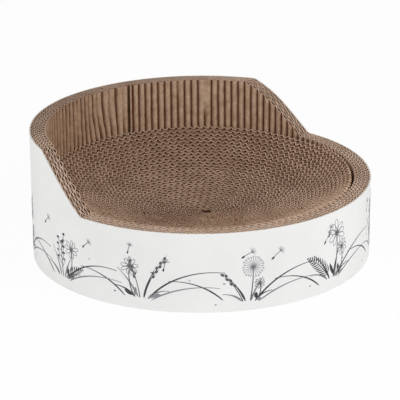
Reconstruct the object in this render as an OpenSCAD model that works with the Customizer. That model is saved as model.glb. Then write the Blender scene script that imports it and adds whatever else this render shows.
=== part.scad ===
// Round cat scratcher bed: a printed ring wall of wound corrugated board, tall at
// the back and low at the front, round a loose, dished seat wound from board strips.
// The front faces -Y, +Z is up and the origin is at the middle of the floor under it.

/* [Overall size] */
// Outside diameter over the printed wrap
bed_d = 420; // [340:5:520]
// Height of the tall back wall
back_h = 160; // [130:1:200]
// Height of the low front wall
front_h = 98; // [80:1:120]
// Angle round the bed that the low front wall takes up
front_span = 180; // [140:1:200]
// Angle round the bed that each sloped shoulder takes up
shoulder_span = 22.3; // [16:0.1:32]

/* [Corrugated board] */
// Thickness of one corrugated board
board_t = 4.6; // [3.6:0.1:6]
// Distance from one flute to the next along a board
flute_pitch = 8.9; // [7:0.1:12]
// Thickness of the paper that liners and flutes are made of
paper_t = 0.45; // [0.3:0.05:0.7]
// Glue line left between neighbouring boards
glue_t = 0.1; // [0.05:0.05:0.3]

/* [Wall] */
// Thickness of the white-lined wrap round the outside
wrap_t = 1.5; // [0.8:0.1:2.5]
// Gap where the two ends of one wound board meet
seam_gap = 3; // [1:0.5:6]
// Gap where the two ends of the wrap meet at the back
wrap_gap = 0.6; // [0.3:0.1:2]
// Thickness of the round board under the floor of the bed
base_t = 3; // [2:0.1:6]

/* [Seat] */
// Width of the strips, which is how thick the seat is
strip_w = 43; // [30:1:60]
// How far the middle of the seat is pressed below its edge
dish_depth = 51; // [20:1:60]
// Even clearance between the seat and the wall
seat_clear = 2.6; // [1.5:0.1:6]
// How far the seat lies off centre inside the wall
seat_shift = 1.7; // [0:0.1:2.2]
// How far the start of the coil lies off the middle of the seat
coil_offset = 8; // [0:0.5:12]
// Radius of the hole at the very start of the coil
core_r = 3; // [2:0.5:6]
// Least slack between two neighbouring turns
turn_slack = 0.06; // [0.05:0.01:0.3]

/* [Hidden] */

// How fine OpenSCAD draws round shapes
$fn = 180;
// How far a cutter runs past what it cuts
overrun = 1;

kraft = "#b48f70";
kraft_pale = "#c4a384";
white_liner = "#eeeeec";

bed_r = bed_d / 2;
// Outer radius of each wall board, counted from the outside
function board_r(i) = bed_r - wrap_t - glue_t - i * (board_t + glue_t);
wall_board_count = 4;
wall_in_r = board_r(wall_board_count) + glue_t;

// Places round the bed are angles from the front, growing towards +X
function from_front(a) = a - 90;
// Where the ends of each wall board meet, outermost board first
seam_places = [205, 172, 188, 162];
wrap_seam_place = 180;

// The shoulder is one sloped plane, from its foot on the low wall to its head
shoulder_foot_y = -bed_r * cos(front_span / 2);
shoulder_head_y = -bed_r * cos(front_span / 2 + shoulder_span);

// Cell between a flute and a liner: half widths as shares of the pitch
cell_wide_share = 0.43;
cell_crest_share = 0.05;

// Groove between two exposed flutes: half widths as shares of the pitch and the
// depths that they lie at as shares of the flute, from the mouth to the liner
groove_half_shares = [0.36, 0.22, 0.13, 0.09];
groove_depth_shares = [0, 0.13, 0.45, 1];

// Everything above the low front and the sloped shoulders
module front_cut() {
  reach = bed_r + overrun;
  top = back_h + overrun;
  rotate([90, 0, 90])
    linear_extrude(height = 2 * reach, center = true)
      polygon([
        [-reach, front_h], [shoulder_foot_y, front_h],
        [shoulder_head_y, back_h], [shoulder_head_y, top], [-reach, top]
      ]);
}

// A slot through a ring at one place, where two ends meet
module end_slot(place, gap, r_in, r_out) {
  rotate(from_front(place))
    translate([r_in - overrun, -gap / 2])
      square([r_out - r_in + 2 * overrun, gap]);
}

// A point at radius r on the line at angle a, moved sideways from that line
function beside(a, r, side) = [r * cos(a) - side * sin(a), r * sin(a) + side * cos(a)];

// Loop that is even on both sides of the line at angle a, from half widths at radii
function even_loop(a, half, r) = concat(
  [for (k = [0:1:len(r) - 1]) beside(a, r[k], -half[k])],
  [for (k = [len(r) - 1:-1:0]) beside(a, r[k], half[k])]
);

// A plate drawn from its outer loop and the loops of its holes
module plate(outline, holes) {
  difference() {
    polygon(outline);
    for (hole = holes) polygon(hole);
  }
}

// Half of the angle that the gap between the ends of a board takes up
function gap_half_angle(r) = asin(seam_gap / 2 / r);
function board_flutes(r_mid) =
  round(2 * PI * r_mid * (1 - gap_half_angle(r_mid) / 180) / flute_pitch);
function flute_step(r_mid) = (360 - 2 * gap_half_angle(r_mid)) / board_flutes(r_mid);
function flute_start(place, r_mid) = from_front(place) + gap_half_angle(r_mid);

// Plan of a board with a liner on both sides and flutes between them
module board_plan(r_out, place) {
  r_in = r_out - board_t;
  r_mid = r_out - board_t / 2;
  n = board_flutes(r_mid);
  step = flute_step(r_mid);
  start = flute_start(place, r_mid);
  pitch = 2 * PI * r_mid / 360 * step;
  wide = pitch * cell_wide_share;
  crest = pitch * cell_crest_share;
  plate(
    concat(
      [for (j = [0:n]) beside(start + j * step, r_out, 0)],
      [for (j = [n:-1:0]) beside(start + j * step, r_in, 0)]
    ),
    concat(
      [for (j = [0:n - 1]) even_loop(start + (j + 0.5) * step, [crest, wide],
        [r_in + 2 * paper_t, r_out - paper_t])],
      [for (j = [1:n - 1]) even_loop(start + j * step, [wide, crest],
        [r_in + paper_t, r_out - 2 * paper_t])]
    )
  );
}

// Plan of the innermost board: one liner, and flutes that stand open to the inside
module lining_plan(r_out, place) {
  r_in = r_out - board_t;
  r_mid = r_out - board_t / 2;
  n = board_flutes(r_mid);
  step = flute_step(r_mid);
  start = flute_start(place, r_mid);
  pitch = 2 * PI * r_in / 360 * step;
  depth = board_t - 2 * paper_t;
  last = len(groove_half_shares) - 1;
  groove_half = [for (share = groove_half_shares) share * pitch];
  groove_r = [for (share = groove_depth_shares) r_in + share * depth];
  hollow_half = [for (half = groove_half) pitch / 2 - half - paper_t];
  hollow_r = [for (k = [0:last]) k == 0 ? r_in + paper_t : groove_r[k]];
  plate(
    concat(
      [for (j = [0:n]) beside(start + j * step, r_out, 0)],
      [beside(start + n * step, groove_r[last], 0)],
      [for (j = [n - 1:-1:0]) each concat(
        [for (k = [last:-1:0])
          beside(start + (j + 1) * step, groove_r[k], -groove_half[k])],
        [for (k = [0:last]) beside(start + j * step, groove_r[k], groove_half[k])]
      )],
      [beside(start, groove_r[last], 0)]
    ),
    [for (j = [0:n - 1]) even_loop(start + (j + 0.5) * step,
      concat(hollow_half, [hollow_half[last]]), concat(hollow_r, [r_out - paper_t]))]
  );
}

module wall_solid() {
  difference() {
    translate([0, 0, base_t])
      linear_extrude(height = back_h - base_t)
        children();
    front_cut();
  }
}

module printed_wrap() {
  color(white_liner)
    difference() {
      linear_extrude(height = back_h)
        difference() {
          circle(r = bed_r);
          circle(r = bed_r - wrap_t);
          end_slot(wrap_seam_place, wrap_gap, bed_r - wrap_t, bed_r);
        }
      front_cut();
    }
}

module wall_board(i) {
  color(kraft)
    wall_solid()
      board_plan(board_r(i), seam_places[i]);
}

module fluted_lining() {
  i = wall_board_count - 1;
  color(kraft_pale)
    wall_solid()
      lining_plan(board_r(i), seam_places[i]);
}

module base_board() {
  color(kraft)
    cylinder(r = bed_r - wrap_t - glue_t, h = base_t);
}

// The seat is one coil of half turns about two rows of centres. It crosses its own
// axis on the right and on the left at even steps, wider on the slack side.
seat_r = wall_in_r - seat_clear;
seat_place = 40;
coil_place = 75;
turns = floor((seat_r - board_t - core_r - coil_offset) / (board_t + turn_slack));
step_right = (seat_r - board_t - core_r - coil_offset) / turns;
step_left = (seat_r - board_t - core_r - step_right / 2 + coil_offset) / (turns - 1);
function cross_right(n) = coil_offset + core_r + n * step_right;
function cross_left(n) = coil_offset - core_r - step_right / 2 - n * step_left;

// Half turns are counted from the middle: even ones on the far side, odd ones near
halves = 2 * turns;
function half_right(k) = cross_right(ceil(k / 2));
function half_left(k) = cross_left(floor(k / 2));
function half_r(k) = (half_right(k) - half_left(k)) / 2;
function half_centre(k) = (half_right(k) + half_left(k)) / 2;
function half_length(k) = PI * (half_r(k) + board_t / 2);

// Rise of a strip's lower edge above the base board, steepest at the rim
dish_power = 2.3;
function rise_at(r) = dish_depth * pow(r / seat_r, dish_power);

// Length of coil before half turn k, and the strip that the half turn belongs to
function coil_length(k) = k == 0 ? 0 : coil_length(k - 1) + half_length(k - 1);
seat_strip_count = 9;
whole_length = coil_length(halves);
function strip_of(k) =
  floor(seat_strip_count * (coil_length(k) + half_length(k) / 2) / whole_length) + 1;

// The pressed coil slopes across each strip, so a strip is higher on its outer face
module half_turn(k) {
  r_in = half_r(k);
  r_out = r_in + board_t;
  translate([half_centre(k), 0, base_t])
    rotate(k % 2 == 0 ? 0 : 180)
      rotate_extrude(angle = 180)
        polygon([
          [r_in, rise_at(r_in)], [r_out, rise_at(r_out)],
          [r_out, rise_at(r_out) + strip_w], [r_in, rise_at(r_in) + strip_w]
        ]);
}

module seat_strip(s) {
  color(s % 2 == 0 ? kraft : kraft_pale)
    rotate(from_front(seat_place))
      translate([-seat_shift, 0, 0])
        rotate(coil_place - seat_place)
          for (k = [0:halves - 1])
            if (strip_of(k) == s) half_turn(k);
}

printed_wrap();
wall_board(0);  // wall_board_outer
wall_board(1);  // wall_board_second
wall_board(2);  // wall_board_third
fluted_lining();
base_board();
seat_strip(1);  // seat_strip_1
seat_strip(2);  // seat_strip_2
seat_strip(3);  // seat_strip_3
seat_strip(4);  // seat_strip_4
seat_strip(5);  // seat_strip_5
seat_strip(6);  // seat_strip_6
seat_strip(7);  // seat_strip_7
seat_strip(8);  // seat_strip_8
seat_strip(9);  // seat_strip_9
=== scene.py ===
# %% [markdown]
# # A round cardboard scratching bed for a cat
# The bed has three things to look at: a ring wall of wound corrugated board, whose
# cut edges show rows of small open cells, a dished seat wound from strips of the same
# board, and a white printed board round the outside. Nearly everything is paper, so
# the lesson is how to get its looks from real geometry: each board is modelled as two
# liners with a wave of fluting paper between them, made flat, and then rolled up.

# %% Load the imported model
import math
import random
import bmesh
import bpy
from mathutils import Matrix, Vector, noise


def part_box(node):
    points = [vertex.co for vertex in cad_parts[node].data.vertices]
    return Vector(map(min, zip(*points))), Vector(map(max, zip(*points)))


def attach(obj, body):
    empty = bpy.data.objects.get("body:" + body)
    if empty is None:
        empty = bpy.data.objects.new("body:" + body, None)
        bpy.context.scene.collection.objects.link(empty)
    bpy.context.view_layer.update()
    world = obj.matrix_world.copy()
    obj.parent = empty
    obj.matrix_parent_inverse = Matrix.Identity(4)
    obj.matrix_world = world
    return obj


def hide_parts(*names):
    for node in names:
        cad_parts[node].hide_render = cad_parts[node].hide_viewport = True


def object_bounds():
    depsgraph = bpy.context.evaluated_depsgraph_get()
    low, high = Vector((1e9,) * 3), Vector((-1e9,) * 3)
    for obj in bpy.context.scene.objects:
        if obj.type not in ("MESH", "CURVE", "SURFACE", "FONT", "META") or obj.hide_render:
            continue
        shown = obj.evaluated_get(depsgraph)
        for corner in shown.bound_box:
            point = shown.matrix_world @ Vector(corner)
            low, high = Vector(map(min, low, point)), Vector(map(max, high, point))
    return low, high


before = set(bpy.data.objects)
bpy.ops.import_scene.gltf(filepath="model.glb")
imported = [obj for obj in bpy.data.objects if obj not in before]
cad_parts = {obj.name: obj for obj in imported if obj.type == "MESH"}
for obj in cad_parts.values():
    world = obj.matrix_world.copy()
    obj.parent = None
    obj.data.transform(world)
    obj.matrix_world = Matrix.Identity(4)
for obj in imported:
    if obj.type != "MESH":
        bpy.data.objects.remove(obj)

cad_low, cad_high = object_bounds()

# %% [markdown]
# ## Sizes
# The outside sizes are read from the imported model. The sizes inside a board are the
# maker's: the board's thickness, the distance between two flutes and the paper. A
# place round the bed is an angle from its front, growing towards +X. The sloped
# shoulders of the wall swell a little, because a soft board springs back from the saw.

# %% Sizes of the bed and its board
MM = 0.001
BED_R = (cad_high.x - cad_low.x) / 2
BACK_H = cad_high.z
BASE_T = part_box("base_board")[1].z
FRONT_H = 98 * MM
FRONT_SPAN = math.radians(180)
SHOULDER_SPAN = math.radians(22.3)
BOARD_T = 4.6 * MM
FLUTE_PITCH = 8.9 * MM
LINER_T = 0.43 * MM
FLUTE_T = 0.77 * MM
GLUE_T = 0.1 * MM
WRAP_T = 1.5 * MM
SEAM_GAP = 3 * MM
STRIP_W = 43 * MM
DISH_DEPTH = 51 * MM
SHOULDER_SWELL = 6 * MM
SHOULDER_FOOT_Y = -BED_R * math.cos(FRONT_SPAN / 2)
SHOULDER_HEAD_Y = -BED_R * math.cos(FRONT_SPAN / 2 + SHOULDER_SPAN)
print("radius", round(BED_R, 4), "height", round(BACK_H, 4), "base", round(BASE_T, 4))


def from_front(degrees):
    """The angle in the XY plane of a place that lies so many degrees from the front."""
    return math.radians(degrees - 90)


def wall_top(y):
    """Height of the wall where it passes y: low front, sloped shoulder, tall back."""
    share = (y - SHOULDER_FOOT_Y) / (SHOULDER_HEAD_Y - SHOULDER_FOOT_Y)
    share = min(1.0, max(0.0, share))
    swell = SHOULDER_SWELL * math.sin(math.pi * share) * share
    return min(BACK_H, FRONT_H + (BACK_H - FRONT_H) * share + swell)


# %% [markdown]
# ## Camera
# The photograph was taken from the front left, a little above the bed and from far
# away, which a long lens shows by how little the far rim shrinks. The angle,
# distance and lens come from fitting the two rims, so they are written as numbers.

# %% Camera at the photograph's angle
VIEW_AZIMUTH = math.radians(-47.6)
VIEW_ELEVATION = math.radians(21.60)
VIEW_DISTANCE = 12.195 * BED_R
VIEW_ROLL = -0.0056
AIM_HEIGHT = 0.35 * BED_R
AIM_RIGHT = -0.0005
AIM_UP = -0.0043
FOCAL_PIXELS = 2040
FRAME_PIXELS = 400
SENSOR_W = 36
CLIP_END = 20


def direction(azimuth, elevation):
    """Unit vector from the bed to a place seen at this azimuth and elevation."""
    flat = math.cos(elevation)
    return Vector((math.sin(azimuth) * flat, -math.cos(azimuth) * flat, math.sin(elevation)))


camera_data = bpy.data.cameras.new("camera")
camera = bpy.data.objects.new("camera", camera_data)
bpy.context.scene.collection.objects.link(camera)
bpy.context.scene.camera = camera
back = direction(VIEW_AZIMUTH, VIEW_ELEVATION)
camera.location = back * VIEW_DISTANCE
aim = Vector((0, 0, AIM_HEIGHT)) - camera.location
right = aim.normalized().cross(Vector((0, 0, 1))).normalized()
up = right.cross(aim.normalized())
aim = aim.normalized() + right * AIM_RIGHT + up * AIM_UP
camera.rotation_mode = "QUATERNION"
camera.rotation_quaternion = (
    aim.to_track_quat("-Z", "Y").to_matrix() @ Matrix.Rotation(VIEW_ROLL, 3, "Z")
).to_quaternion()
camera_data.sensor_width = SENSOR_W
camera_data.lens = SENSOR_W * FOCAL_PIXELS / FRAME_PIXELS
camera_data.clip_end = CLIP_END
print("camera at", [round(x, 3) for x in camera.location], "lens", round(camera_data.lens, 1))

# %% [markdown]
# ## Paper and board finishes
# Everything but the wrap is brown kraft paper. Its colour comes from unbleached wood
# fibre: a warm tan, mottled over a few millimetres and streaked along the sheet. A cut
# edge is paler and duller than the face, because it shows the ends of torn fibres, so
# the cut edges get a finish of their own. The patterns read Object coordinates, which
# are metres here, so a noise scale of 1000 over a size in millimetres has that size.


# %% Colours and nodes
def linear(hex_colour):
    """A hex colour, written as it looks on a screen, as the linear colour a shader takes."""
    parts = [int(hex_colour[i : i + 2], 16) / 255 for i in (1, 3, 5)]
    return [c / 12.92 if c <= 0.04045 else ((c + 0.055) / 1.055) ** 2.4 for c in parts] + [1]


def add(tree, kind, settings=None, links=None, values=None):
    """Adds one node with its settings, its input values and the links into it."""
    node = tree.nodes.new(kind)
    for name, value in (settings or {}).items():
        setattr(node, name, value)
    for name, value in (values or {}).items():
        node.inputs[name].default_value = value
    for name, source in (links or {}).items():
        tree.links.new(source, node.inputs[name])
    return node


def new_material(name, roughness, specular=0.3):
    """A new material with this roughness and specular level, its node tree and its shader."""
    material = bpy.data.materials.new(name)
    material.use_nodes = True
    shader = material.node_tree.nodes["Principled BSDF"]
    shader.inputs["Roughness"].default_value = roughness
    shader.inputs["IOR"].default_value = 1.47
    shader.inputs["Specular IOR Level"].default_value = specular
    return material, material.node_tree, shader


def mottled(tree, where, size_mm, colours, stretch=(1, 1, 1)):
    """A colour ramp over noise, and the noise. Colours is a list of (share, hex colour)."""
    mapping = add(tree, "ShaderNodeMapping", links={"Vector": where}, values={"Scale": stretch})
    cloud = add(
        tree, "ShaderNodeTexNoise", links={"Vector": mapping.outputs["Vector"]},
        values={"Scale": 1000 / size_mm, "Detail": 4.0, "Roughness": 0.6},
    )
    ramp = add(tree, "ShaderNodeValToRGB", links={"Fac": cloud.outputs["Fac"]})
    ramp.color_ramp.elements[0].position = colours[0][0]
    ramp.color_ramp.elements[0].color = linear(colours[0][1])
    ramp.color_ramp.elements[1].position = colours[-1][0]
    ramp.color_ramp.elements[1].color = linear(colours[-1][1])
    for place, colour in colours[1:-1]:
        ramp.color_ramp.elements.new(place).color = linear(colour)
    return ramp.outputs["Color"], cloud.outputs["Fac"]


def blend_colours(tree, first, second, share, way="MIX"):
    """Mixes two colours. Each of them, and the share, is a value or a socket."""
    mix = add(tree, "ShaderNodeMix", settings={"data_type": "RGBA", "blend_type": way})
    for socket, value in ((mix.inputs[0], share), (mix.inputs[6], first), (mix.inputs[7], second)):
        if isinstance(value, bpy.types.NodeSocket):
            tree.links.new(value, socket)
        else:
            socket.default_value = value
    return mix.outputs[2]


def roughen(tree, shader, height, distance_mm, strength=1.0):
    """Bump from a height pattern that is so many millimetres high."""
    bump = add(
        tree, "ShaderNodeBump", links={"Height": height},
        values={"Distance": distance_mm * MM, "Strength": strength},
    )
    tree.links.new(bump.outputs["Normal"], shader.inputs["Normal"])


# %% [markdown]
# A corrugated board has two brown papers, the liners and the fluting medium between
# them. All of them are matt, so roughness is high and the specular level low. The fibre
# streaks run up the sheet, which the stretch gives. A clean liner is light tan. The liner
# faces that sit in the narrow gaps of the coil and the wall get a duller, darker copy of
# it, which is painted shade, and the paper inside the cells is darker still, painted
# shade so that the cells look like holes from a step away. A mark darkens the paper round
# an upright line; on the seat's front left it is painted shade.


# %% Kraft papers
def at_place(degrees, r):
    """The point at this radius that lies so many degrees from the front."""
    return (r * math.cos(from_front(degrees)), r * math.sin(from_front(degrees)), 0)


def near_line(tree, where, place, near, far):
    """1 near an upright line through the place and 0 far from it, both in millimetres."""
    flat = add(
        tree, "ShaderNodeVectorMath", settings={"operation": "MULTIPLY"}, links={0: where},
        values={1: (1, 1, 0)},
    )
    away = add(
        tree, "ShaderNodeVectorMath", settings={"operation": "DISTANCE"},
        links={0: flat.outputs[0]}, values={1: place},
    )
    share = add(
        tree, "ShaderNodeMapRange", links={"Value": away.outputs["Value"]},
        values={"From Min": far * MM, "From Max": near * MM},
    )
    return share.outputs["Result"]


def marked(tree, where, colour, marks):
    """Darkens a colour round upright lines.

    Each mark is a line's place, its near and far distance and the colour it multiplies by.
    """
    for place, near, far, tint in marks:
        share = near_line(tree, where, place, near, far)
        colour = blend_colours(tree, colour, linear(tint), share, "MULTIPLY")
    return colour


def kraft_paper(name, dark, middle, light, streak, marks=()):
    """Brown kraft: mottled over 9 mm and 2 mm, with fine upright fibre streaks."""
    material, tree, shader = new_material(name, 0.88)
    where = add(tree, "ShaderNodeTexCoord").outputs["Object"]
    cloud, _ = mottled(tree, where, 9, [(0.3, dark), (0.5, middle), (0.72, light)])
    speck, height = mottled(tree, where, 2.2, [(0.35, "#c9c9c9"), (0.65, "#ffffff")])
    fibres, fine = mottled(
        tree, where, 0.9, [(0.4, streak), (0.62, "#ffffff")], stretch=(1, 1, 0.12)
    )
    colour = blend_colours(tree, cloud, speck, 0.55, "MULTIPLY")
    colour = blend_colours(tree, colour, fibres, 0.5, "MULTIPLY")
    tree.links.new(marked(tree, where, colour, marks), shader.inputs["Base Color"])
    roughen(tree, shader, fine, 0.12, 0.6)
    return material


KRAFT_LINER = kraft_paper("kraft_liner", "#a98a70", "#bc9c82", "#cbae95", "#ddd3ca")
# Centre of a painted shade on the seat's front left; the mark darkens the liner and the cut edges
# there.
SEAT_SHADE_PLACE = at_place(-47.6, 70 * MM)
# Painted shade: a darker, duller copy of the liner for faces that sit in the narrow gaps between
# sheets and turns.
PAINTED_SHADE_LINER = kraft_paper(
    "liner_painted_shade", "#7b5d47", "#8c6c54", "#9d7b62", "#ddd3ca", [(SEAT_SHADE_PLACE, 55, 130, "#a8937f")]
)
# Painted shade: the paper inside the cells is coloured far darker than kraft, so that the cells read
# as deep shade.
CELL_SHADE_PAPER = kraft_paper("cell_paper_painted_shade", "#472c1b", "#583a26", "#684732", "#d9cfc6")

# %% [markdown]
# The cut edge of each paper is where the saw tore the fibres, so it is paler than the
# face. Real fuzz is finer than 0.1 mm. It is drawn 1.5 mm coarse, to show at all.


# %% Raw cut edge
def raw_edge(name, dark, light, marks=()):
    """Torn fibre ends: pale tan, broken up over 1.5 mm, and fully matt."""
    material, tree, shader = new_material(name, 0.96, 0.15)
    where = add(tree, "ShaderNodeTexCoord").outputs["Object"]
    cloud, height = mottled(tree, where, 1.5, [(0.3, dark), (0.7, light)])
    wide, _ = mottled(tree, where, 26, [(0.35, "#d8d0c8"), (0.65, "#ffffff")])
    colour = blend_colours(tree, cloud, wide, 0.7, "MULTIPLY")
    tree.links.new(marked(tree, where, colour, marks), shader.inputs["Base Color"])
    roughen(tree, shader, height, 0.3, 0.8)
    return material


WALL_EDGE = raw_edge(
    "sawn_kraft_edge", "#cbad97", "#ecd3bf", [(at_place(175, BED_R), 100, 280, "#cbc6c4")]
)
# The mark on the seat's cut edges is painted shade on its front left.
SEAT_EDGE = raw_edge(
    "pressed_kraft_edge", "#c4a38a", "#e4c6ae", [(SEAT_SHADE_PLACE, 55, 130, "#dcd5cf")]
)
print("paper finishes", [m.name for m in (CELL_SHADE_PAPER, KRAFT_LINER, WALL_EDGE, SEAT_EDGE)])

# %% [markdown]
# ## A flat strip of corrugated board
# A corrugator glues a wave of fluting paper between two flat liners. The strip is
# built the same way. One flute is a short chain of points, and a spin by no angle
# but with a step along X repeats it, as an array would. The chain is then pulled up
# into a sheet, and solidify gives the paper its thickness once the strip is rolled.


# %% Chain of flutes, pulled up into a sheet
FLUTE_STEPS = 8


def chain(points, pitch, count):
    """A bmesh with one flute's chain of edges, repeated along X."""
    bm = bmesh.new()
    verts = [bm.verts.new((x, y, 0)) for x, y in points]
    for first, second in zip(verts, verts[1:]):
        bm.edges.new((first, second))
    if count > 1:
        bmesh.ops.spin(
            bm, geom=bm.verts[:] + bm.edges[:], cent=(0, 0, 0), axis=(0, 0, 1),
            dvec=(pitch, 0, 0), angle=0, steps=count - 1, use_duplicate=True,
        )
        bmesh.ops.remove_doubles(bm, verts=bm.verts[:], dist=pitch / 100)
    return bm


def pull_up(bm, levels, collar=0):
    """Pulls a chain of edges up into a sheet: z holds the share of the height.

    The material index marks the top level, which is the frayed lip, with 1, and the
    level below it with the value of collar.
    """
    edges = bm.edges[:]
    for low, high in zip(levels, levels[1:]):
        made = bmesh.ops.extrude_edge_only(bm, edges=edges)["geom"]
        for face in made:
            if isinstance(face, bmesh.types.BMFace):
                face.material_index = {levels[-1]: 1, levels[-2]: collar}.get(high, 0)
        raised = [g for g in made if isinstance(g, bmesh.types.BMVert)]
        bmesh.ops.translate(bm, verts=raised, vec=(0, 0, high - low))
        edges = [g for g in made if isinstance(g, bmesh.types.BMEdge)]
        edges = [e for e in edges if all(abs(v.co.z - high) < 1e-6 for v in e.verts)]
    return bm


def wave_at(share, peaked=0.0, straight=0.0):
    """The wave's place across the board, -1 to 1.

    Peaked narrows its outer crests, and straight straightens its flanks.
    """
    turn = 2 * math.pi * share
    even = (math.cos(turn) + straight * math.cos(3 * turn)) / (1 + straight)
    return even + peaked * (math.cos(2 * turn) - 1)


def wave(pitch, height, peaked=0.0, straight=0.0):
    """One flute of the medium, from crest to crest."""
    shares = [k / FLUTE_STEPS for k in range(FLUTE_STEPS + 1)]
    return [(pitch * share, height * wave_at(share, peaked, straight)) for share in shares]


def flat_line(pitch, y, steps=2):
    """One flute's length of liner, as a line of equal steps."""
    return [(pitch * k / steps, y) for k in range(steps + 1)]


# %% [markdown]
# ## Rolling a strip up
# Rolling is a move of every point: its X is a distance along the strip, which a path
# turns into a place and an outward direction, and its Y is how far it lies across the
# board. Height comes from a function too, so the same code cuts the wall's outline
# and presses the seat into a dish. The paper gets its thickness last, by solidify, and
# the faces that look up or down are the cut edges.


# %% Roll, thicken and finish a sheet
def place_piece(name, mesh, finishes, body, node):
    """Links a finished mesh as one piece of the bed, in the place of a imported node."""
    for material in finishes:
        mesh.materials.append(material)
    mesh.set_sharp_from_angle(angle=math.radians(40))
    piece = bpy.data.objects.new(name, mesh)
    bpy.context.scene.collection.objects.link(piece)
    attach(piece, body)
    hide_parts(node)
    return piece


def roll(bm, path, height_at):
    """Moves each point of a flat sheet onto the path, between the heights found there."""
    for v in bm.verts:
        place, outward = path(v.co.x)
        x, y = place[0] + outward[0] * v.co.y, place[1] + outward[1] * v.co.y
        low, high = height_at(v.co.x, v.co.y, y)
        v.co = (x, y, low + (high - low) * v.co.z)
    return bm


def thicken(bm, thickness):
    """Gives a sheet its paper thickness, evenly to both sides, with its faces outwards."""
    bm.normal_update()
    for v in bm.verts:
        v.co -= v.normal * thickness / 2
    bmesh.ops.solidify(bm, geom=bm.faces[:], thickness=-thickness)
    bmesh.ops.recalc_face_normals(bm, faces=bm.faces[:])
    if bm.calc_volume(signed=True) < 0:
        bmesh.ops.reverse_faces(bm, faces=bm.faces[:])
    return bm


def make_piece(name, sheets, edge, body, node):
    """One object from (bmesh, outward finish, inward finish) of each of its sheets.

    Cut edges get a finish of their own, and a collar below them the liner in painted shade.
    """
    finishes = [edge, PAINTED_SHADE_LINER]
    mesh = bpy.data.meshes.new(name)
    whole = bmesh.new()
    for bm, outward, inward in sheets:
        finishes += [outward, inward]
        bm.normal_update()
        for face in bm.faces:
            upright = abs(face.normal.z) <= 0.5
            middle = face.calc_center_median()
            faces_out = face.normal.x * middle.x + face.normal.y * middle.y > 0
            painted = len(finishes) - 2 if faces_out else len(finishes) - 1
            face.material_index = (painted, 0, 1)[face.material_index] if upright else 0
            face.smooth = upright
        part = bpy.data.meshes.new("part")
        bm.to_mesh(part)
        bm.free()
        whole.from_mesh(part)
        bpy.data.meshes.remove(part)
    whole.to_mesh(mesh)
    whole.free()
    return place_piece(name, mesh, finishes, body, node)


# %% [markdown]
# ## The wall's boards
# Three boards are wound round each other, and the lining is the fourth. The two ends of
# each meet at a place of its own, as a maker would stagger them. Winding is never
# perfect, so the flutes lean and drift a little, which slow noise gives. The top half
# millimetre of each sheet is a frayed lip in the colour of the cut edge. A collar in the
# liner's painted shade below it keeps the step to the painted-dark cell soft. Levels are
# shares of the wall's height, from foot to rim.


# %% Wall boards
WALL_BOARDS = 4
SEAM_PLACES = [205, 172, 188, 162]
WALL_LEVELS = [0, 0.5, 0.975, 0.996, 1]
WALL_LINER_T = 0.45 * MM
WALL_FLUTE_T = 0.8 * MM
COLLAR = 2
STRAIGHT = 0.12


def board_r(i):
    """Outer radius of wall board i, counted from the outside."""
    return BED_R - WRAP_T - GLUE_T - i * (BOARD_T + GLUE_T)


def ring_path(i):
    """Path of a wall board along its middle, its length and its number of flutes."""
    r = board_r(i) - BOARD_T / 2
    half_gap = SEAM_GAP / 2 / r
    length = r * (2 * math.pi - 2 * half_gap)
    start = from_front(SEAM_PLACES[i]) + half_gap

    def path(s):
        a = start + s / r
        out = (math.cos(a), math.sin(a))
        return (r * out[0], r * out[1]), out

    return path, length, round(length / FLUTE_PITCH)


def drift(bm, seed, slide, lean):
    """Slow noise that slides flutes along the strip and leans them across it."""
    for v in bm.verts:
        at = Vector((v.co.x / (22 * MM), v.co.z * 0.7, seed))
        v.co.x += slide * noise.noise(at)
        v.co.y += lean * noise.noise(at + Vector((0, 5, 9)))


def wall_heights(along, across, y):
    """Foot and rim of the wall at a point, from its Y alone."""
    return BASE_T, wall_top(y)


def wall_board(i, name, node):
    """Wall board i: two liners with a wave of fluting between them."""
    path, length, count = ring_path(i)
    pitch = length / count
    inside = BOARD_T / 2 - WALL_LINER_T / 2
    sheets = []
    for y, inward in ((inside, CELL_SHADE_PAPER), (-inside, PAINTED_SHADE_LINER)):
        bm = pull_up(chain(flat_line(pitch, y), pitch, count), WALL_LEVELS, COLLAR)
        liner = thicken(roll(bm, path, wall_heights), WALL_LINER_T)
        sheets.append((liner, CELL_SHADE_PAPER, inward))
    reach = BOARD_T / 2 - WALL_LINER_T - WALL_FLUTE_T / 2
    bm = chain(wave(pitch, reach, straight=STRAIGHT), pitch, count)
    drift(pull_up(bm, WALL_LEVELS, COLLAR), i, 1.1 * MM, 0.12 * MM)
    sheets.append((thicken(roll(bm, path, wall_heights), WALL_FLUTE_T), CELL_SHADE_PAPER, CELL_SHADE_PAPER))
    return make_piece(name, sheets, WALL_EDGE, "wall_ring", node)


wall_pieces = [
    wall_board(0, "outer_wound_board", "wall_board_outer"),
    wall_board(1, "second_wound_board", "wall_board_second"),
    wall_board(2, "third_wound_board", "wall_board_third"),
]
for piece in wall_pieces:
    print(piece.name, len(piece.data.polygons), "faces")

# %% [markdown]
# ## The fluted lining
# The innermost board has no inner liner, so its flutes stand open to the cat: broad
# round crests with narrow dark valleys between them. Near the seam the maker's hand
# crushed some of them, so a few dents lift the valleys and push the crests aside, and
# near the rim the flutes there lean over. A dent is a place in degrees, a height in
# millimetres, its two half sizes and a strength. The lining has shrunk a little along
# its length since it was cut, which opens the upright slit where its two ends meet.

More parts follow.
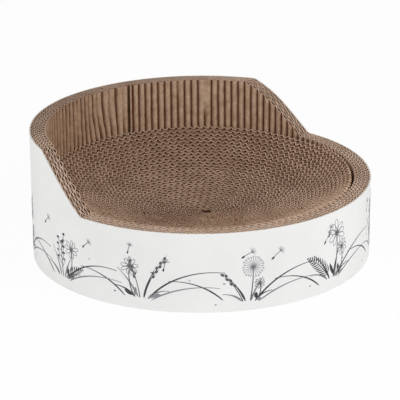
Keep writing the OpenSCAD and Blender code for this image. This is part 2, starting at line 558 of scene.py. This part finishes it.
# %% Lining with its dents
VALLEY_SHARES = [
    (0, 0), (0.05, 0.05), (0.09, 0.18), (0.15, 0.4), (0.22, 0.62), (0.31, 0.83), (0.4, 0.95), (0.5, 1)
]
LINING_LEVELS = [k / 18 for k in range(18)] + [0.996, 1]
DENTS = [
    (163.7, 148, 1.25, 42, 0.62),
    (168.95, 150, 1.25, 38, 0.5),
    (174.2, 152, 1.25, 36, 0.56),
    (179.4, 150, 1.25, 34, 0.5),
    (187.3, 132, 1.2, 22, 0.8),
    (192.5, 118, 1.2, 20, 0.6),
    (200.4, 136, 1.2, 18, 0.7),
    (130.3, 142, 1.4, 26, 1.0),
    (140.8, 150, 1.0, 12, 0.4),
    (216.0, 140, 1.2, 16, 0.5),
]
DENT_LIFT = 0.9
DENT_PUSH = 0.35 * MM
SHRINKAGE = 1.6 * MM
SKEW_PLACE = 174
SKEW_SPREAD = 9
SKEW_REACH = 16 * MM
SKEW_FROM = 0.5
SKEW_RISE = 0.4
END_HOLD = 9 * MM


def open_flute(pitch, height):
    """One exposed flute from crest to crest. Negative Y is towards the cat."""
    half = [(x * pitch, -height * y) for x, y in VALLEY_SHARES]
    rising = [(pitch / 2 + x, y) for x, y in half]
    return [(pitch / 2 - x, y) for x, y in reversed(half)] + rising[1:]


def place_of(v, r):
    """Degrees from the front of a flat point on the lining."""
    return SEAM_PLACES[3] + math.degrees((v.co.x + SEAM_GAP / 2) / r)


def dent(bm, r, crest):
    """Lifts the valleys at each dent and skews the crushed flutes of the flat sheet."""
    for v in bm.verts:
        degrees, height = place_of(v, r), BASE_T + v.co.z * (BACK_H - BASE_T)
        for place, level, half_width, half_height, strength in DENTS:
            away = (degrees - place + 180) % 360 - 180
            near = math.exp(-((away / half_width) ** 4) - ((height / MM - level) / half_height) ** 4)
            v.co.y += (crest * DENT_LIFT - v.co.y) * near * strength
            v.co.x += away * near * strength * DENT_PUSH
        skewed = math.exp(-(((degrees - SKEW_PLACE) / SKEW_SPREAD) ** 2))
        rise = min(1.0, max(0.0, (height / BACK_H - SKEW_FROM) / SKEW_RISE))
        lift = 0.5 * rise * rise * (3 - 2 * rise) * (1 - math.exp(-abs(v.co.x) / END_HOLD))
        wobble = noise.noise(Vector((v.co.x / (7 * MM), height / (16 * MM), 3)))
        v.co.x += SKEW_REACH * skewed * lift + (0.35 + 1.2 * skewed) * MM * wobble
        v.co.y += 0.15 * MM * noise.noise(Vector((v.co.x / (5 * MM), height / (9 * MM), 8)))


def open_flutes_paper(crest_r, valley_r):
    """The exposed medium, with painted shade in its valleys and on one side, and a stain in one
    valley.
    """
    deep = (crest_r + 0.65 * (valley_r - crest_r)) / MM
    marks = [
        # Painted shade: darkens the valleys by their depth from the crests.
        ((0, 0, 0), deep, crest_r / MM, "#96765f"),
        (at_place(159.8, valley_r), 0.4, 3.6, "#cfa684"),
        # Painted shade: darkens the side of the lining round 205 degrees from the front.
        (at_place(205, crest_r), 40, 130, "#e2d9d2"),
    ]
    return kraft_paper("kraft_fluting_medium", "#b39379", "#c8a98f", "#d6baa2", "#dcd4cc", marks)


LINING_R = board_r(3)
OPEN_FLUTES = open_flutes_paper(LINING_R - BOARD_T + MM / 2, LINING_R - WALL_LINER_T)


def fluted_lining():
    """The lining: one liner outside, and open flutes towards the cat."""
    path, length, count = ring_path(3)
    pitch = (length - SHRINKAGE) / count
    outside = BOARD_T / 2 - WALL_LINER_T / 2
    liner = pull_up(chain(flat_line(pitch, outside), pitch, count), WALL_LEVELS, COLLAR)
    bm = chain(open_flute(pitch, BOARD_T - WALL_LINER_T - WALL_FLUTE_T), pitch, count)
    foot = outside - WALL_LINER_T / 2 - WALL_FLUTE_T / 2
    bmesh.ops.translate(liner, verts=liner.verts[:], vec=(SHRINKAGE / 2, 0, 0))
    bmesh.ops.translate(bm, verts=bm.verts[:], vec=(SHRINKAGE / 2, foot, 0))
    pull_up(bm, LINING_LEVELS)
    dent(bm, board_r(3) - BOARD_T / 2, -outside)
    sheets = [
        (thicken(roll(liner, path, wall_heights), WALL_LINER_T), CELL_SHADE_PAPER, PAINTED_SHADE_LINER),
        (thicken(roll(bm, path, wall_heights), WALL_FLUTE_T), PAINTED_SHADE_LINER, OPEN_FLUTES),
    ]
    return make_piece(
        "open_fluted_lining", sheets, WALL_EDGE, "wall_ring", "fluted_lining"
    )


lining = fluted_lining()
print(lining.name, len(lining.data.polygons), "faces")

# %% [markdown]
# ## The coiled seat
# Nine strips of board are wound end to end, cut edge up. A spiral that a maker winds
# is a row of half turns: each half is an arc about one of two centres, so it meets the
# next without a kink. The coil starts a little off the middle, so the turns lie closer
# on one side. The coil is then pressed down, steeply at the rim and hardly at all in
# the middle, and every strip keeps its width, so the underside bulges too.

# %% Path of the coil
SEAT_PLACE = 40
COIL_PLACE = 75
SEAT_SHIFT = 1.7 * MM
SEAT_CLEAR = 2.6 * MM
COIL_OFFSET = 8 * MM
CORE_R = 3 * MM
TURN_SLACK = 0.06 * MM
SEAT_STRIPS = 9
DISH_POWER = 2.3
SEAT_R = board_r(WALL_BOARDS) + GLUE_T - SEAT_CLEAR
ROOM_RIGHT = SEAT_R - BOARD_T - CORE_R - COIL_OFFSET
TURNS = math.floor(ROOM_RIGHT / (BOARD_T + TURN_SLACK))
STEP_RIGHT = ROOM_RIGHT / TURNS
STEP_LEFT = (SEAT_R - BOARD_T - CORE_R - STEP_RIGHT / 2 + COIL_OFFSET) / (TURNS - 1)
STEP_MEAN = (STEP_RIGHT + STEP_LEFT) / 2
STEP_SPREAD = (STEP_RIGHT - STEP_LEFT) / 2


def half_turns():
    """(centre, inner radius, distance along the coil at its start) of each half turn."""
    found, along = [], 0
    for k in range(2 * TURNS):
        right_x = COIL_OFFSET + CORE_R + math.ceil(k / 2) * STEP_RIGHT
        left_x = COIL_OFFSET - CORE_R - STEP_RIGHT / 2 - (k // 2) * STEP_LEFT
        r = (right_x - left_x) / 2
        found.append(((right_x + left_x) / 2, r, along))
        along += math.pi * (r + BOARD_T / 2)
    return found, along


HALVES, COIL_LENGTH = half_turns()


def strip_of(k):
    """Number of the strip that a half turn belongs to, from 0."""
    middle = HALVES[k][2] + math.pi * (HALVES[k][1] + BOARD_T / 2) / 2
    return math.floor(SEAT_STRIPS * middle / COIL_LENGTH)


def half_at(s, first, last):
    """The half turn, among those of one strip, that a distance along the coil lies on."""
    k = first
    while k < last and HALVES[k + 1][2] <= s:
        k += 1
    return k


turned = Matrix.Rotation(from_front(COIL_PLACE), 2)
shifted = Matrix.Rotation(from_front(SEAT_PLACE), 2) @ Vector((-SEAT_SHIFT, 0))
print("turns", TURNS, "coil length", round(COIL_LENGTH, 2), "m, seat radius", round(SEAT_R, 4))

# %% [markdown]
# A board in the coil is squeezed or slack, so it takes up the whole step to the next
# turn: the path's outward direction is a little longer than 1. Each turn holds about
# three and a half flutes more than the turn inside it, so the rows of cells at the back
# pair up, as seen from the front. Only the right flute length does that, and it is
# worked out here. The outer turns also spring out a little, up to the lining and most at
# the sides, and there they rise with the dish. Each row of RELAXED is a place in degrees
# and how many millimetres the outermost turn springs out there.

# %% Flute length and heights in the coil
HALF_FLUTES_PER_TURN = 7
PAIR_SHIFT = 0.45
PAIR_TURN = 30
rough_pitch = 2 * math.pi * STEP_MEAN / (HALF_FLUTES_PER_TURN / 2)
turn_length = HALVES[2 * PAIR_TURN + 1][2] - HALVES[2 * PAIR_TURN - 1][2]
SEAT_PITCH = turn_length / (round(turn_length / rough_pitch - PAIR_SHIFT) + PAIR_SHIFT)
print("flute length in the seat", round(SEAT_PITCH / MM, 3), "mm")


SPRUNG_FROM = 0.6
SPRUNG_OVER = 0.38
RELAXED = [
    (-60, 1.6), (20, 1.8), (27, 1.7), (33, 0.9), (42, 0.6), (55, 1.4), (66, 2.9), (75, 3.1),
    (95, 3.2), (132, 3.4), (180, 2.2), (222, 0.6), (255, 0.8), (300, 1.6),
]


def relaxed(place):
    """How far the outer turns spring out towards the lining at a place round the bed."""
    degrees = (math.degrees(math.atan2(place[1], place[0])) + 90 + 60) % 360 - 60
    for (low, first), (high, second) in zip(RELAXED, RELAXED[1:]):
        if low <= degrees <= high:
            return (first + (second - first) * (degrees - low) / (high - low)) * MM
    return 0


def sprung(place):
    """How far the turn at a place springs out: the outermost one most, the middle not."""
    return relaxed(place) * min(1.0, max(0.0, (place.length / SEAT_R - SPRUNG_FROM) / SPRUNG_OVER))


def coil_path(first, last):
    """Path of one strip: its place and its outward direction at a distance along the coil."""

    def path(s):
        k = half_at(s, first, last)
        centre, r, start = HALVES[k]
        a = (s - start) / (r + BOARD_T / 2) + (math.pi if k % 2 else 0)
        out = turned @ Vector((math.cos(a), math.sin(a)))
        step = STEP_MEAN + STEP_SPREAD * math.cos(a)
        place = turned @ Vector((centre, 0)) + shifted + out * (r + step / 2)
        place += place.normalized() * sprung(place)
        return place, out * (step - GLUE_T / 2) / BOARD_T

    return path


def seat_heights(first, last, path, offset):
    """Heights of a strip, which slopes across its board as well as from turn to turn."""

    def heights(s, across, y):
        k = half_at(s, first, last)
        centre, r, start = HALVES[k]
        share = (s - start) / (math.pi * (r + BOARD_T / 2)) - 0.5
        r_here = r + share * STEP_MEAN / 2 + BOARD_T / 2 + across + sprung(path(s)[0])
        rise = DISH_DEPTH * min(1.0, max(0.0, r_here) / SEAT_R) ** DISH_POWER
        low = BASE_T + rise
        return low, low + STRIP_W + offset

    return heights


# %% [markdown]
# Each strip is made flat with its own run of half turns. Its top edge is uneven by
# a few tenths of a millimetre, some flutes lean, and here and there a cell is crushed
# nearly flat, which is what a saw and a cat leave behind. Pressing folds the outer
# liner in towards the wave, more in the outer strips, and the inner liner stands a
# little lower. Strips differ a little in height where one ends and the next begins.

# %% Seat strips
STRIP_LEVELS = [0, 0.94, 0.994, 1]
INNER_LINER_LEVELS = [0, 0.986, 0.988]
CURLS = [0.45 + 0.35 * k / (SEAT_STRIPS - 1) for k in range(SEAT_STRIPS)]
PEAKED = 0.22
dice = random.Random(7)


def rough_top(bm, seed, crushed):
    """Jitters the cut top edge and crushes a few flutes across the board."""
    for v in bm.verts:
        if v.co.z < 0.5:
            continue
        at = Vector((v.co.x / (4 * MM), v.co.y / (2 * MM), seed))
        if v.co.z > 0.96:
            v.co.z += 0.011 * noise.noise(at) + 0.012 * noise.noise(at / 6)
            v.co.y += 0.10 * MM * noise.noise(at + Vector((0, 0, 40)))
        flute = math.floor(v.co.x / SEAT_PITCH)
        if flute in crushed:
            v.co.y *= crushed[flute]
            v.co.x += 0.8 * MM * (1 - crushed[flute])


def curl_over(bm, height, curl):
    """Folds the outer liner's top edge in towards the wave, as pressing the coil does."""
    for v in bm.verts:
        if v.co.z > 0.99:
            v.co.y += (height * wave_at(v.co.x / SEAT_PITCH, PEAKED) + FLUTE_T / 2 - v.co.y) * curl


def pinch_ends(bm, low, high):
    """Squeezes what sticks out past the strip's two ends into a closed, flat fold."""
    for v in bm.verts:
        past = v.co.x - min(high, max(low, v.co.x))
        v.co.x -= past * 0.95


def seat_strip(number):
    """One strip of the coil, counted from the middle of the seat."""
    run = [k for k in range(2 * TURNS) if strip_of(k) == number]
    first, last = run[0], run[-1]
    start = HALVES[first][2]
    length = HALVES[last][2] + math.pi * (HALVES[last][1] + BOARD_T / 2) - start
    lead = start % SEAT_PITCH
    count = math.ceil((length + lead) / SEAT_PITCH)
    crushed = {dice.randrange(count): dice.uniform(0.35, 0.8) for _ in range(count // 20)}
    inside = BOARD_T / 2 - LINER_T / 2
    reach = BOARD_T / 2 - LINER_T - FLUTE_T / 2
    path = coil_path(first, last)
    heights = seat_heights(first, last, path, 0.25 * MM * (number % 3 - 1))
    sheets = []
    for points, levels, thickness, outward, inward in (
        (flat_line(SEAT_PITCH, inside, FLUTE_STEPS), STRIP_LEVELS, LINER_T, PAINTED_SHADE_LINER, CELL_SHADE_PAPER),
        (flat_line(SEAT_PITCH, -inside), INNER_LINER_LEVELS, LINER_T, CELL_SHADE_PAPER, PAINTED_SHADE_LINER),
        (wave(SEAT_PITCH, reach, PEAKED), STRIP_LEVELS, FLUTE_T, CELL_SHADE_PAPER, CELL_SHADE_PAPER),
    ):
        bm = pull_up(chain(points, SEAT_PITCH, count), levels)
        if outward == PAINTED_SHADE_LINER:
            curl_over(bm, reach, CURLS[number])
        drift(bm, 20 + number, 0.9 * MM, 0.08 * MM)
        rough_top(bm, number, crushed)
        bmesh.ops.translate(bm, verts=bm.verts[:], vec=(start - lead, 0, 0))
        pinch_ends(bm, start + MM / 2, start + length - MM / 2)
        sheets.append((thicken(roll(bm, path, heights), thickness), outward, inward))
    node = f"seat_strip_{number + 1}"
    return make_piece(f"coiled_strip_{number + 1}", sheets, SEAT_EDGE, "seat", node)


seat_pieces = [seat_strip(number) for number in range(SEAT_STRIPS)]
for piece in seat_pieces:
    print(piece.name, len(piece.data.polygons), "faces")

# %% [markdown]
# ## The white wrap
# The wrap is a white-lined board, cut to the wall's outline and glued round it with a
# butt joint at the back. One wall profile is spun round to the joint, and its top
# points then move to the wall's outline. Its cut edge is grey, as the core of such a
# board is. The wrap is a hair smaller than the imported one, which leaves room for the ink.


# %% White board finishes
def white_board():
    """Clay-coated white board: nearly white, smooth, with a faint satin sheen."""
    material, tree, shader = new_material("white_lined_board", 0.55, 0.4)
    where = add(tree, "ShaderNodeTexCoord").outputs["Object"]
    cloud, _ = mottled(tree, where, 60, [(0.3, "#e4e4e3"), (0.7, "#e9e9e8")])
    _, height = mottled(tree, where, 24, [(0.3, "#e4e4e3"), (0.7, "#e9e9e8")], stretch=(1, 1, 0.3))
    tree.links.new(cloud, shader.inputs["Base Color"])
    roughen(tree, shader, height, 0.5, 0.5)
    return material


WHITE_BOARD = white_board()
BOARD_CORE = raw_edge("grey_board_core", "#c9c2b9", "#e2ddd6")


# %% Wrap
INK_ROOM = 0.15 * MM
WRAP_R = BED_R - INK_ROOM
WRAP_GAP = 0.6 * MM
WRAP_SEAM_PLACE = 180


def finish_solid(name, bm, face_finish, edge_finish, node):
    """An object from a closed mesh whose faces that look up or down have another finish."""
    bmesh.ops.recalc_face_normals(bm, faces=bm.faces[:])
    bm.normal_update()
    for face in bm.faces:
        face.material_index = 1 if abs(face.normal.z) > 0.5 else 0
        face.smooth = abs(face.normal.z) <= 0.5
    mesh = bpy.data.meshes.new(name)
    bm.to_mesh(mesh)
    bm.free()
    return place_piece(name, mesh, [face_finish, edge_finish], "wall_ring", node)


def printed_wrap():
    """The white board round the outside, open at its joint by a narrow gap."""
    bm = bmesh.new()
    inner = BED_R - WRAP_T
    half_gap = WRAP_GAP / 2 / BED_R
    start = from_front(WRAP_SEAM_PLACE) + half_gap
    corners = [(inner, 0), (WRAP_R, 0), (WRAP_R, 1), (inner, 1)]
    verts = [bm.verts.new((r * math.cos(start), r * math.sin(start), z)) for r, z in corners]
    for first, second in zip(verts, verts[1:] + verts[:1]):
        bm.edges.new((first, second))
    bmesh.ops.spin(
        bm, geom=bm.verts[:] + bm.edges[:], cent=(0, 0, 0), axis=(0, 0, 1),
        angle=2 * (math.pi - half_gap), steps=720,
    )
    bmesh.ops.holes_fill(bm, edges=[e for e in bm.edges if e.is_boundary], sides=4)
    for v in bm.verts:
        v.co.z *= wall_top(v.co.y)
    return finish_solid("white_wrap", bm, WHITE_BOARD, BOARD_CORE, "printed_wrap")


wrap = printed_wrap()
print(wrap.name, len(wrap.data.polygons), "faces")

# %% [markdown]
# ## The print on the wrap
# The wrap carries a line drawing in black and grey, a meadow of grasses, ferns,
# daisies, berries and dandelion clocks with a few drifting seeds. Every mark is one
# kind of brush stroke, a ribbon whose width changes along it: a stem tapers, a leaf
# swells and a dot is as long as it is wide. Sizes here are millimetres on the unrolled
# sheet, and the finished sheets of ink are rolled round the wrap.

# %% Brush strokes
INK = {"black": bmesh.new(), "grey": bmesh.new()}
BOLD = 1.45
HAIRLINE = 0.06
ink_dice = random.Random(23)


def stem(start, heading, length, bend):
    """Points of a bending line. Heading is degrees from upright, to the right."""
    steps = max(6, math.ceil(length / 4))
    points = [Vector(start)]
    for k in range(steps):
        turn = math.radians(heading + bend * (k + 0.5) / steps)
        points.append(points[-1] + Vector((math.sin(turn), math.cos(turn))) * length / steps)
    return points


def brush(ink, points, width_at):
    """A ribbon along the points. width_at turns a share of its length into a width."""
    bm, last, pairs = INK[ink], len(points) - 1, []
    for k, point in enumerate(points):
        along = points[min(k + 1, last)] - points[max(k - 1, 0)]
        width = max(HAIRLINE, BOLD * width_at(k / last))
        across = Vector((-along.y, along.x)).normalized() * width / 2
        pairs.append([bm.verts.new((*(point + side * across), 0)) for side in (1, -1)])
    for (a, b), (c, d) in zip(pairs, pairs[1:]):
        bm.faces.new((a, b, d, c))
    return points[-1]


def line(ink, points, thick, thin):
    """A stroke that goes from one width to another."""
    return brush(ink, points, lambda t: thick + (thin - thick) * t)


def leaf(ink, at, heading, length, width, bend=20):
    """A stroke that swells in the middle."""
    return brush(ink, stem(at, heading, length, bend), lambda t: width * math.sin(math.pi * t) ** 0.8)


def dot(ink, at, size):
    """A round spot, as a stroke that is as long as it is wide."""
    start = Vector(at) - Vector((0, size / 2))
    points = stem(start, 0, size, 0)
    return brush(ink, points, lambda t: size * math.sqrt(max(0, 1 - (2 * t - 1) ** 2)))


def petal(at, heading, length, width):
    """Outline of a petal in a fine grey line."""
    points = []
    turn = math.radians(heading)
    up, side = Vector((math.sin(turn), math.cos(turn))), Vector((math.cos(turn), -math.sin(turn)))
    for k in range(13):
        a = 2 * math.pi * k / 12
        far = (1 - math.cos(a)) / 2
        points.append(at + up * length * far + side * width / 2 * math.sin(a) * (0.55 + 0.45 * far))
    line("grey", points, 0.55, 0.55)


# %% [markdown]
# A plant is a bending stem with strokes set along it. Slightly different sizes, drawn
# from seeded dice, keep two plants of one kind from looking stamped.


# %% Meadow plants
def daisy(at, size):
    """A flower head, seen from the front."""
    for k in range(9):
        heading = 40 * k + ink_dice.uniform(-6, 6)
        petal(Vector(at), heading, size * ink_dice.uniform(0.88, 1.05), size * 0.44)
    dot("black", at, size * 0.36)
    for k in range(7):
        line("black", stem(at, 51 * k, size * 0.42, 20), 0.5, 0.2)


def daisy_plant(at, lean, height):
    """A flower on its stem, with two leaves at the foot."""
    top = line("black", stem(at, lean, height, -lean * 1.4), 1.0, 0.7)
    daisy(top, height * 0.3)
    leaf("black", Vector(at) + Vector((0, 2)), lean - 50, height * 0.36, 3.2)
    leaf("grey", Vector(at) + Vector((0, 1)), lean + 48, height * 0.3, 2.6, -25)


def fern(at, lean, length, bend):
    """A bending stem with pairs of leaflets, which are longest below the middle."""
    points = stem(at, lean, length, bend)
    line("black", points, 1.0, 0.4)
    for k in range(2, len(points)):
        share = k / (len(points) - 1)
        heading = lean + bend * share
        reach = length * 0.22 * math.sin(math.pi * (0.25 + 0.72 * share)) + 1
        for side in (-1, 1):
            leaf("black", points[k], heading + 60 * side, reach, 1.15, -24 * side)


def clock(at, lean, height, size):
    """A dandelion clock: a ball of rays, each with a three-armed tuft."""
    top = line("black", stem(at, lean, height, -lean), 0.9, 0.7)
    dot("black", top, size * 0.3)
    for k in range(24):
        end = line("grey", stem(top, 15 * k, size * ink_dice.uniform(0.85, 1.0), 0), 0.4, 0.35)
        for spread in (-38, 0, 38):
            line("grey", stem(end, 15 * k + spread, size * 0.16, 0), 0.4, 0.25)


def seed(at, heading, size):
    """A drifting seed, hanging below its tuft."""
    leaf("black", at, heading + 180, size * 0.4, size * 0.12, 0)
    top = line("black", stem(at, heading, size * 0.6, 12), 0.55, 0.45)
    for spread in (-66, -44, -22, 0, 22, 44, 66):
        line("grey", stem(top, heading + spread, size * 0.42, spread / 3), 0.5, 0.25)


def ear(at, lean, height, bend):
    """An ear of grass, with its grains and whiskers on the upper half."""
    points = stem(at, lean, height, bend)
    line("black", points, 0.8, 0.5)
    for k in range(len(points) // 2, len(points)):
        heading = lean + bend * k / (len(points) - 1)
        side = 1 if k % 2 else -1
        leaf("black", points[k], heading + 26 * side, 5.2, 2.3, -10 * side)
        line("grey", stem(points[k], heading + 16 * side, 8.5, 0), 0.4, 0.2)


def berries(at, lean, height):
    """A stem with berries on short stalks, left and right in turn."""
    points = stem(at, lean, height, 18)
    line("black", points, 0.9, 0.6)
    for k in range(3, len(points)):
        side = 1 if k % 2 else -1
        tip = line("black", stem(points[k], lean + 52 * side, 6 + 0.12 * height, -40 * side), 0.6, 0.5)
        dot("black" if k % 3 else "grey", tip, 3.4)
    dot("black", points[-1], 4.2)


def blade(at, lean, length, bend, ink="black", width=1.7):
    """A blade of grass: thin at its foot, widest at a third, pointed at its tip."""
    points = stem(at, lean, length, bend)
    brush(ink, points, lambda t: 0.5 + width * math.sin(math.pi * t ** 0.6) * (1 - t))


# %% [markdown]
# The plants stand in clumps round the bed, each a kind and how tall it grows. Long thin
# blades bend over from one clump towards the next, and seeds drift above them.


# %% Meadow layout
def clump(u, kind, grow):
    """A group of plants. Grow stretches their heights."""
    ground = 13 + ink_dice.uniform(-2, 3)
    foot = (u, ground)
    for lean, length in ((-40, 26), (-20, 36), (14, 32), (40, 24)):
        at = (u + lean / 5, ground)
        shade = ink_dice.choice(["black", "grey"])
        blade(at, lean + ink_dice.uniform(-6, 6), length * grow, lean * 1.3, shade)
    if kind == 0:
        fern((u - 4, ground), -30, 40 * grow, -32)
        daisy_plant((u + 5, ground), 14, 44 * grow)
        daisy_plant((u + 13, ground + 1), 36, 28 * grow)
    elif kind == 1:
        clock((u + 2, ground), 10, 42 * grow, 12.5)
        ear((u - 7, ground), -22, 40 * grow, -22)
        daisy_plant((u + 9, ground), 44, 22 * grow)
    elif kind == 2:
        berries(foot, -12, 40 * grow)
        daisy_plant((u + 11, ground), 24, 36 * grow)
        fern((u + 5, ground), 44, 32 * grow, 30)
    else:
        ear((u + 3, ground), 14, 46 * grow, 26)
        ear((u - 2, ground), -8, 36 * grow, -16)
        daisy_plant((u - 9, ground), -28, 32 * grow)
        leaf("grey", (u + 8, ground), 58, 17, 3)
    return ground


half_turn_mm = math.pi * WRAP_R / MM
SEAM_MARGIN = 62
CLUMP_KINDS = [
    (0, 1.1), (1, 1.2), (2, 1.1), (3, 1.2), (1, 1.0), (0, 1.25), (2, 1.45), (1, 1.2), (3, 1.1),
    (0, 1.3), (2, 1.1),
]
last_clump = len(CLUMP_KINDS) - 1
clump_room = 2 * half_turn_mm - 2 * SEAM_MARGIN
for k, (kind, grow) in enumerate(CLUMP_KINDS):
    u = -half_turn_mm + SEAM_MARGIN + k * clump_room / last_clump + ink_dice.uniform(-7, 7)
    ground = clump(u, kind, grow)
    if k < last_clump:
        blade((u + 8, ground - 1), 38, 92 + ink_dice.uniform(-8, 12), 62, "black", 1.2)
        blade((u + 12, ground - 2), 56, 84, 44, "grey", 1.0)
        blade((u + 96, ground), -44, 70, -52, "black", 1.0)
    for _ in range(2):
        at = (u + ink_dice.uniform(-44, 50), ink_dice.uniform(52, 76))
        seed(at, ink_dice.uniform(10, 60), ink_dice.uniform(11, 15))
    for _ in range(3):
        at = (u + ink_dice.uniform(-52, 58), ink_dice.uniform(9, 50))
        dot("grey", at, ink_dice.uniform(1.2, 2.2))


# %% [markdown]
# Each ink is one sheet of ribbons, a tenth of a millimetre thick, which is bent round
# the wrap and sunk in by a little of that.

# %% Ink on the wrap
INK_T = 0.1
INK_SINK = 0.02


def roll_ink(name, bm, material):
    """Gives a flat sheet of ink its thickness and rolls it round the wrap."""
    bm.normal_update()
    bmesh.ops.solidify(bm, geom=bm.faces[:], thickness=-INK_T)
    bmesh.ops.recalc_face_normals(bm, faces=bm.faces[:])
    foot = min(v.co.z for v in bm.verts)
    for v in bm.verts:
        a = from_front(math.degrees(v.co.x * MM / WRAP_R))
        r = WRAP_R + (v.co.z - foot - INK_SINK) * MM
        v.co = (r * math.cos(a), r * math.sin(a), v.co.y * MM)
    return finish_solid(name, bm, material, material, "printed_wrap")


def printing_ink(name, dark, light):
    """Flat ink on board, a little uneven over 3 mm."""
    material, tree, shader = new_material(name, 0.6, 0.35)
    where = add(tree, "ShaderNodeTexCoord").outputs["Object"]
    colour, _ = mottled(tree, where, 3, [(0.35, dark), (0.7, light)])
    tree.links.new(colour, shader.inputs["Base Color"])
    return material


for name, ink, dark, light in (
    ("meadow_black_print", "black", "#303032", "#444447"),
    ("meadow_grey_print", "grey", "#77787c", "#909195"),
):
    piece = roll_ink(name, INK[ink], printing_ink(f"{ink}_printing_ink", dark, light))
    print(piece.name, len(piece.data.polygons), "faces")

# %% [markdown]
# ## The base board
# A round of board closes the bed below. It is hardly ever seen, so it is a plain disc.


# %% Base board
def base_disc():
    """The round board under the wall and the seat."""
    bm = bmesh.new()
    radius = BED_R - WRAP_T - GLUE_T
    bmesh.ops.create_cone(
        bm, cap_ends=True, segments=360, radius1=radius, radius2=radius, depth=BASE_T
    )
    bmesh.ops.translate(bm, verts=bm.verts[:], vec=(0, 0, BASE_T / 2))
    rims = [e for e in bm.edges if abs(e.verts[0].co.z - e.verts[1].co.z) < MM / 10]
    bmesh.ops.bevel(
        bm, geom=rims, offset=0.4 * MM, segments=2, profile=0.5, affect="EDGES", material=-1
    )
    return finish_solid("base_disc", bm, KRAFT_LINER, KRAFT_LINER, "base_board")


print(base_disc().name)

# %% [markdown]
# ## Floor and light
# A plain floor that stays white for the camera but keeps a soft shadow: for camera
# rays most of its colour is a white that the lamps don't change. The lamps are large
# and soft, as in a product studio, and so weak that colours render about as written.
# The world is white where the camera or a shiny surface sees it, and dimmer as a light.


# %% Floor
FLOOR_HALF_SIZE = 6
FLOOR_GLOW = 0.93


def studio_floor():
    """A floor that glows white for the camera and takes the bed's shadow."""
    material = bpy.data.materials.new("studio_floor")
    material.use_nodes = True
    tree = material.node_tree
    tree.nodes.clear()
    white = add(tree, "ShaderNodeBsdfDiffuse", values={"Color": linear("#f4f4f4")})
    glow = add(tree, "ShaderNodeEmission", values={"Color": (1, 1, 1, 1), "Strength": 1.0})
    rays = add(tree, "ShaderNodeLightPath")
    share = add(
        tree, "ShaderNodeMath", settings={"operation": "MULTIPLY"},
        links={0: rays.outputs["Is Camera Ray"]}, values={1: FLOOR_GLOW},
    )
    both = add(
        tree, "ShaderNodeMixShader",
        links={0: share.outputs[0], 1: white.outputs[0], 2: glow.outputs[0]},
    )
    add(tree, "ShaderNodeOutputMaterial", links={"Surface": both.outputs[0]})
    bm = bmesh.new()
    bmesh.ops.create_grid(bm, x_segments=1, y_segments=1, size=FLOOR_HALF_SIZE)
    mesh = bpy.data.meshes.new("floor")
    bm.to_mesh(mesh)
    bm.free()
    mesh.materials.append(material)
    floor = bpy.data.objects.new("floor", mesh)
    bpy.context.scene.collection.objects.link(floor)


studio_floor()

# %% Light
AMBIENT = 0.66


def area_lamp(name, azimuth, elevation, distance, size, power):
    """A square softbox that looks at the bed from this azimuth and elevation."""
    data = bpy.data.lights.new(name, "AREA")
    data.size = size
    data.energy = power
    lamp = bpy.data.objects.new(name, data)
    bpy.context.scene.collection.objects.link(lamp)
    away = direction(math.radians(azimuth), math.radians(elevation))
    lamp.location = away * distance + Vector((0, 0, BACK_H / 2))
    lamp.rotation_mode = "QUATERNION"
    lamp.rotation_quaternion = away.to_track_quat("Z", "Y")


area_lamp("key_softbox", 4, 30, 2.2, 0.9, 17)
area_lamp("fill_softbox", -106, 14, 2.4, 1.4, 15)

world = bpy.data.worlds.new("studio")
bpy.context.scene.world = world
world.use_nodes = True
tree = world.node_tree
tree.nodes.clear()
rays = add(tree, "ShaderNodeLightPath")
ambient = add(tree, "ShaderNodeBackground", values={"Color": (1, 1, 1, 1), "Strength": AMBIENT})
seen = add(tree, "ShaderNodeBackground", values={"Color": (1, 1, 1, 1), "Strength": 1.0})
either = add(
    tree, "ShaderNodeMath", settings={"operation": "MAXIMUM"},
    links={0: rays.outputs["Is Camera Ray"], 1: rays.outputs["Is Glossy Ray"]},
)
either = add(
    tree, "ShaderNodeMath", settings={"operation": "MAXIMUM"},
    links={0: either.outputs[0], 1: rays.outputs["Is Transmission Ray"]},
)
both = add(
    tree, "ShaderNodeMixShader",
    links={0: either.outputs[0], 1: ambient.outputs[0], 2: seen.outputs[0]},
)
add(tree, "ShaderNodeOutputWorld", links={"Surface": both.outputs[0]})
bpy.context.scene.view_settings.view_transform = "Standard"
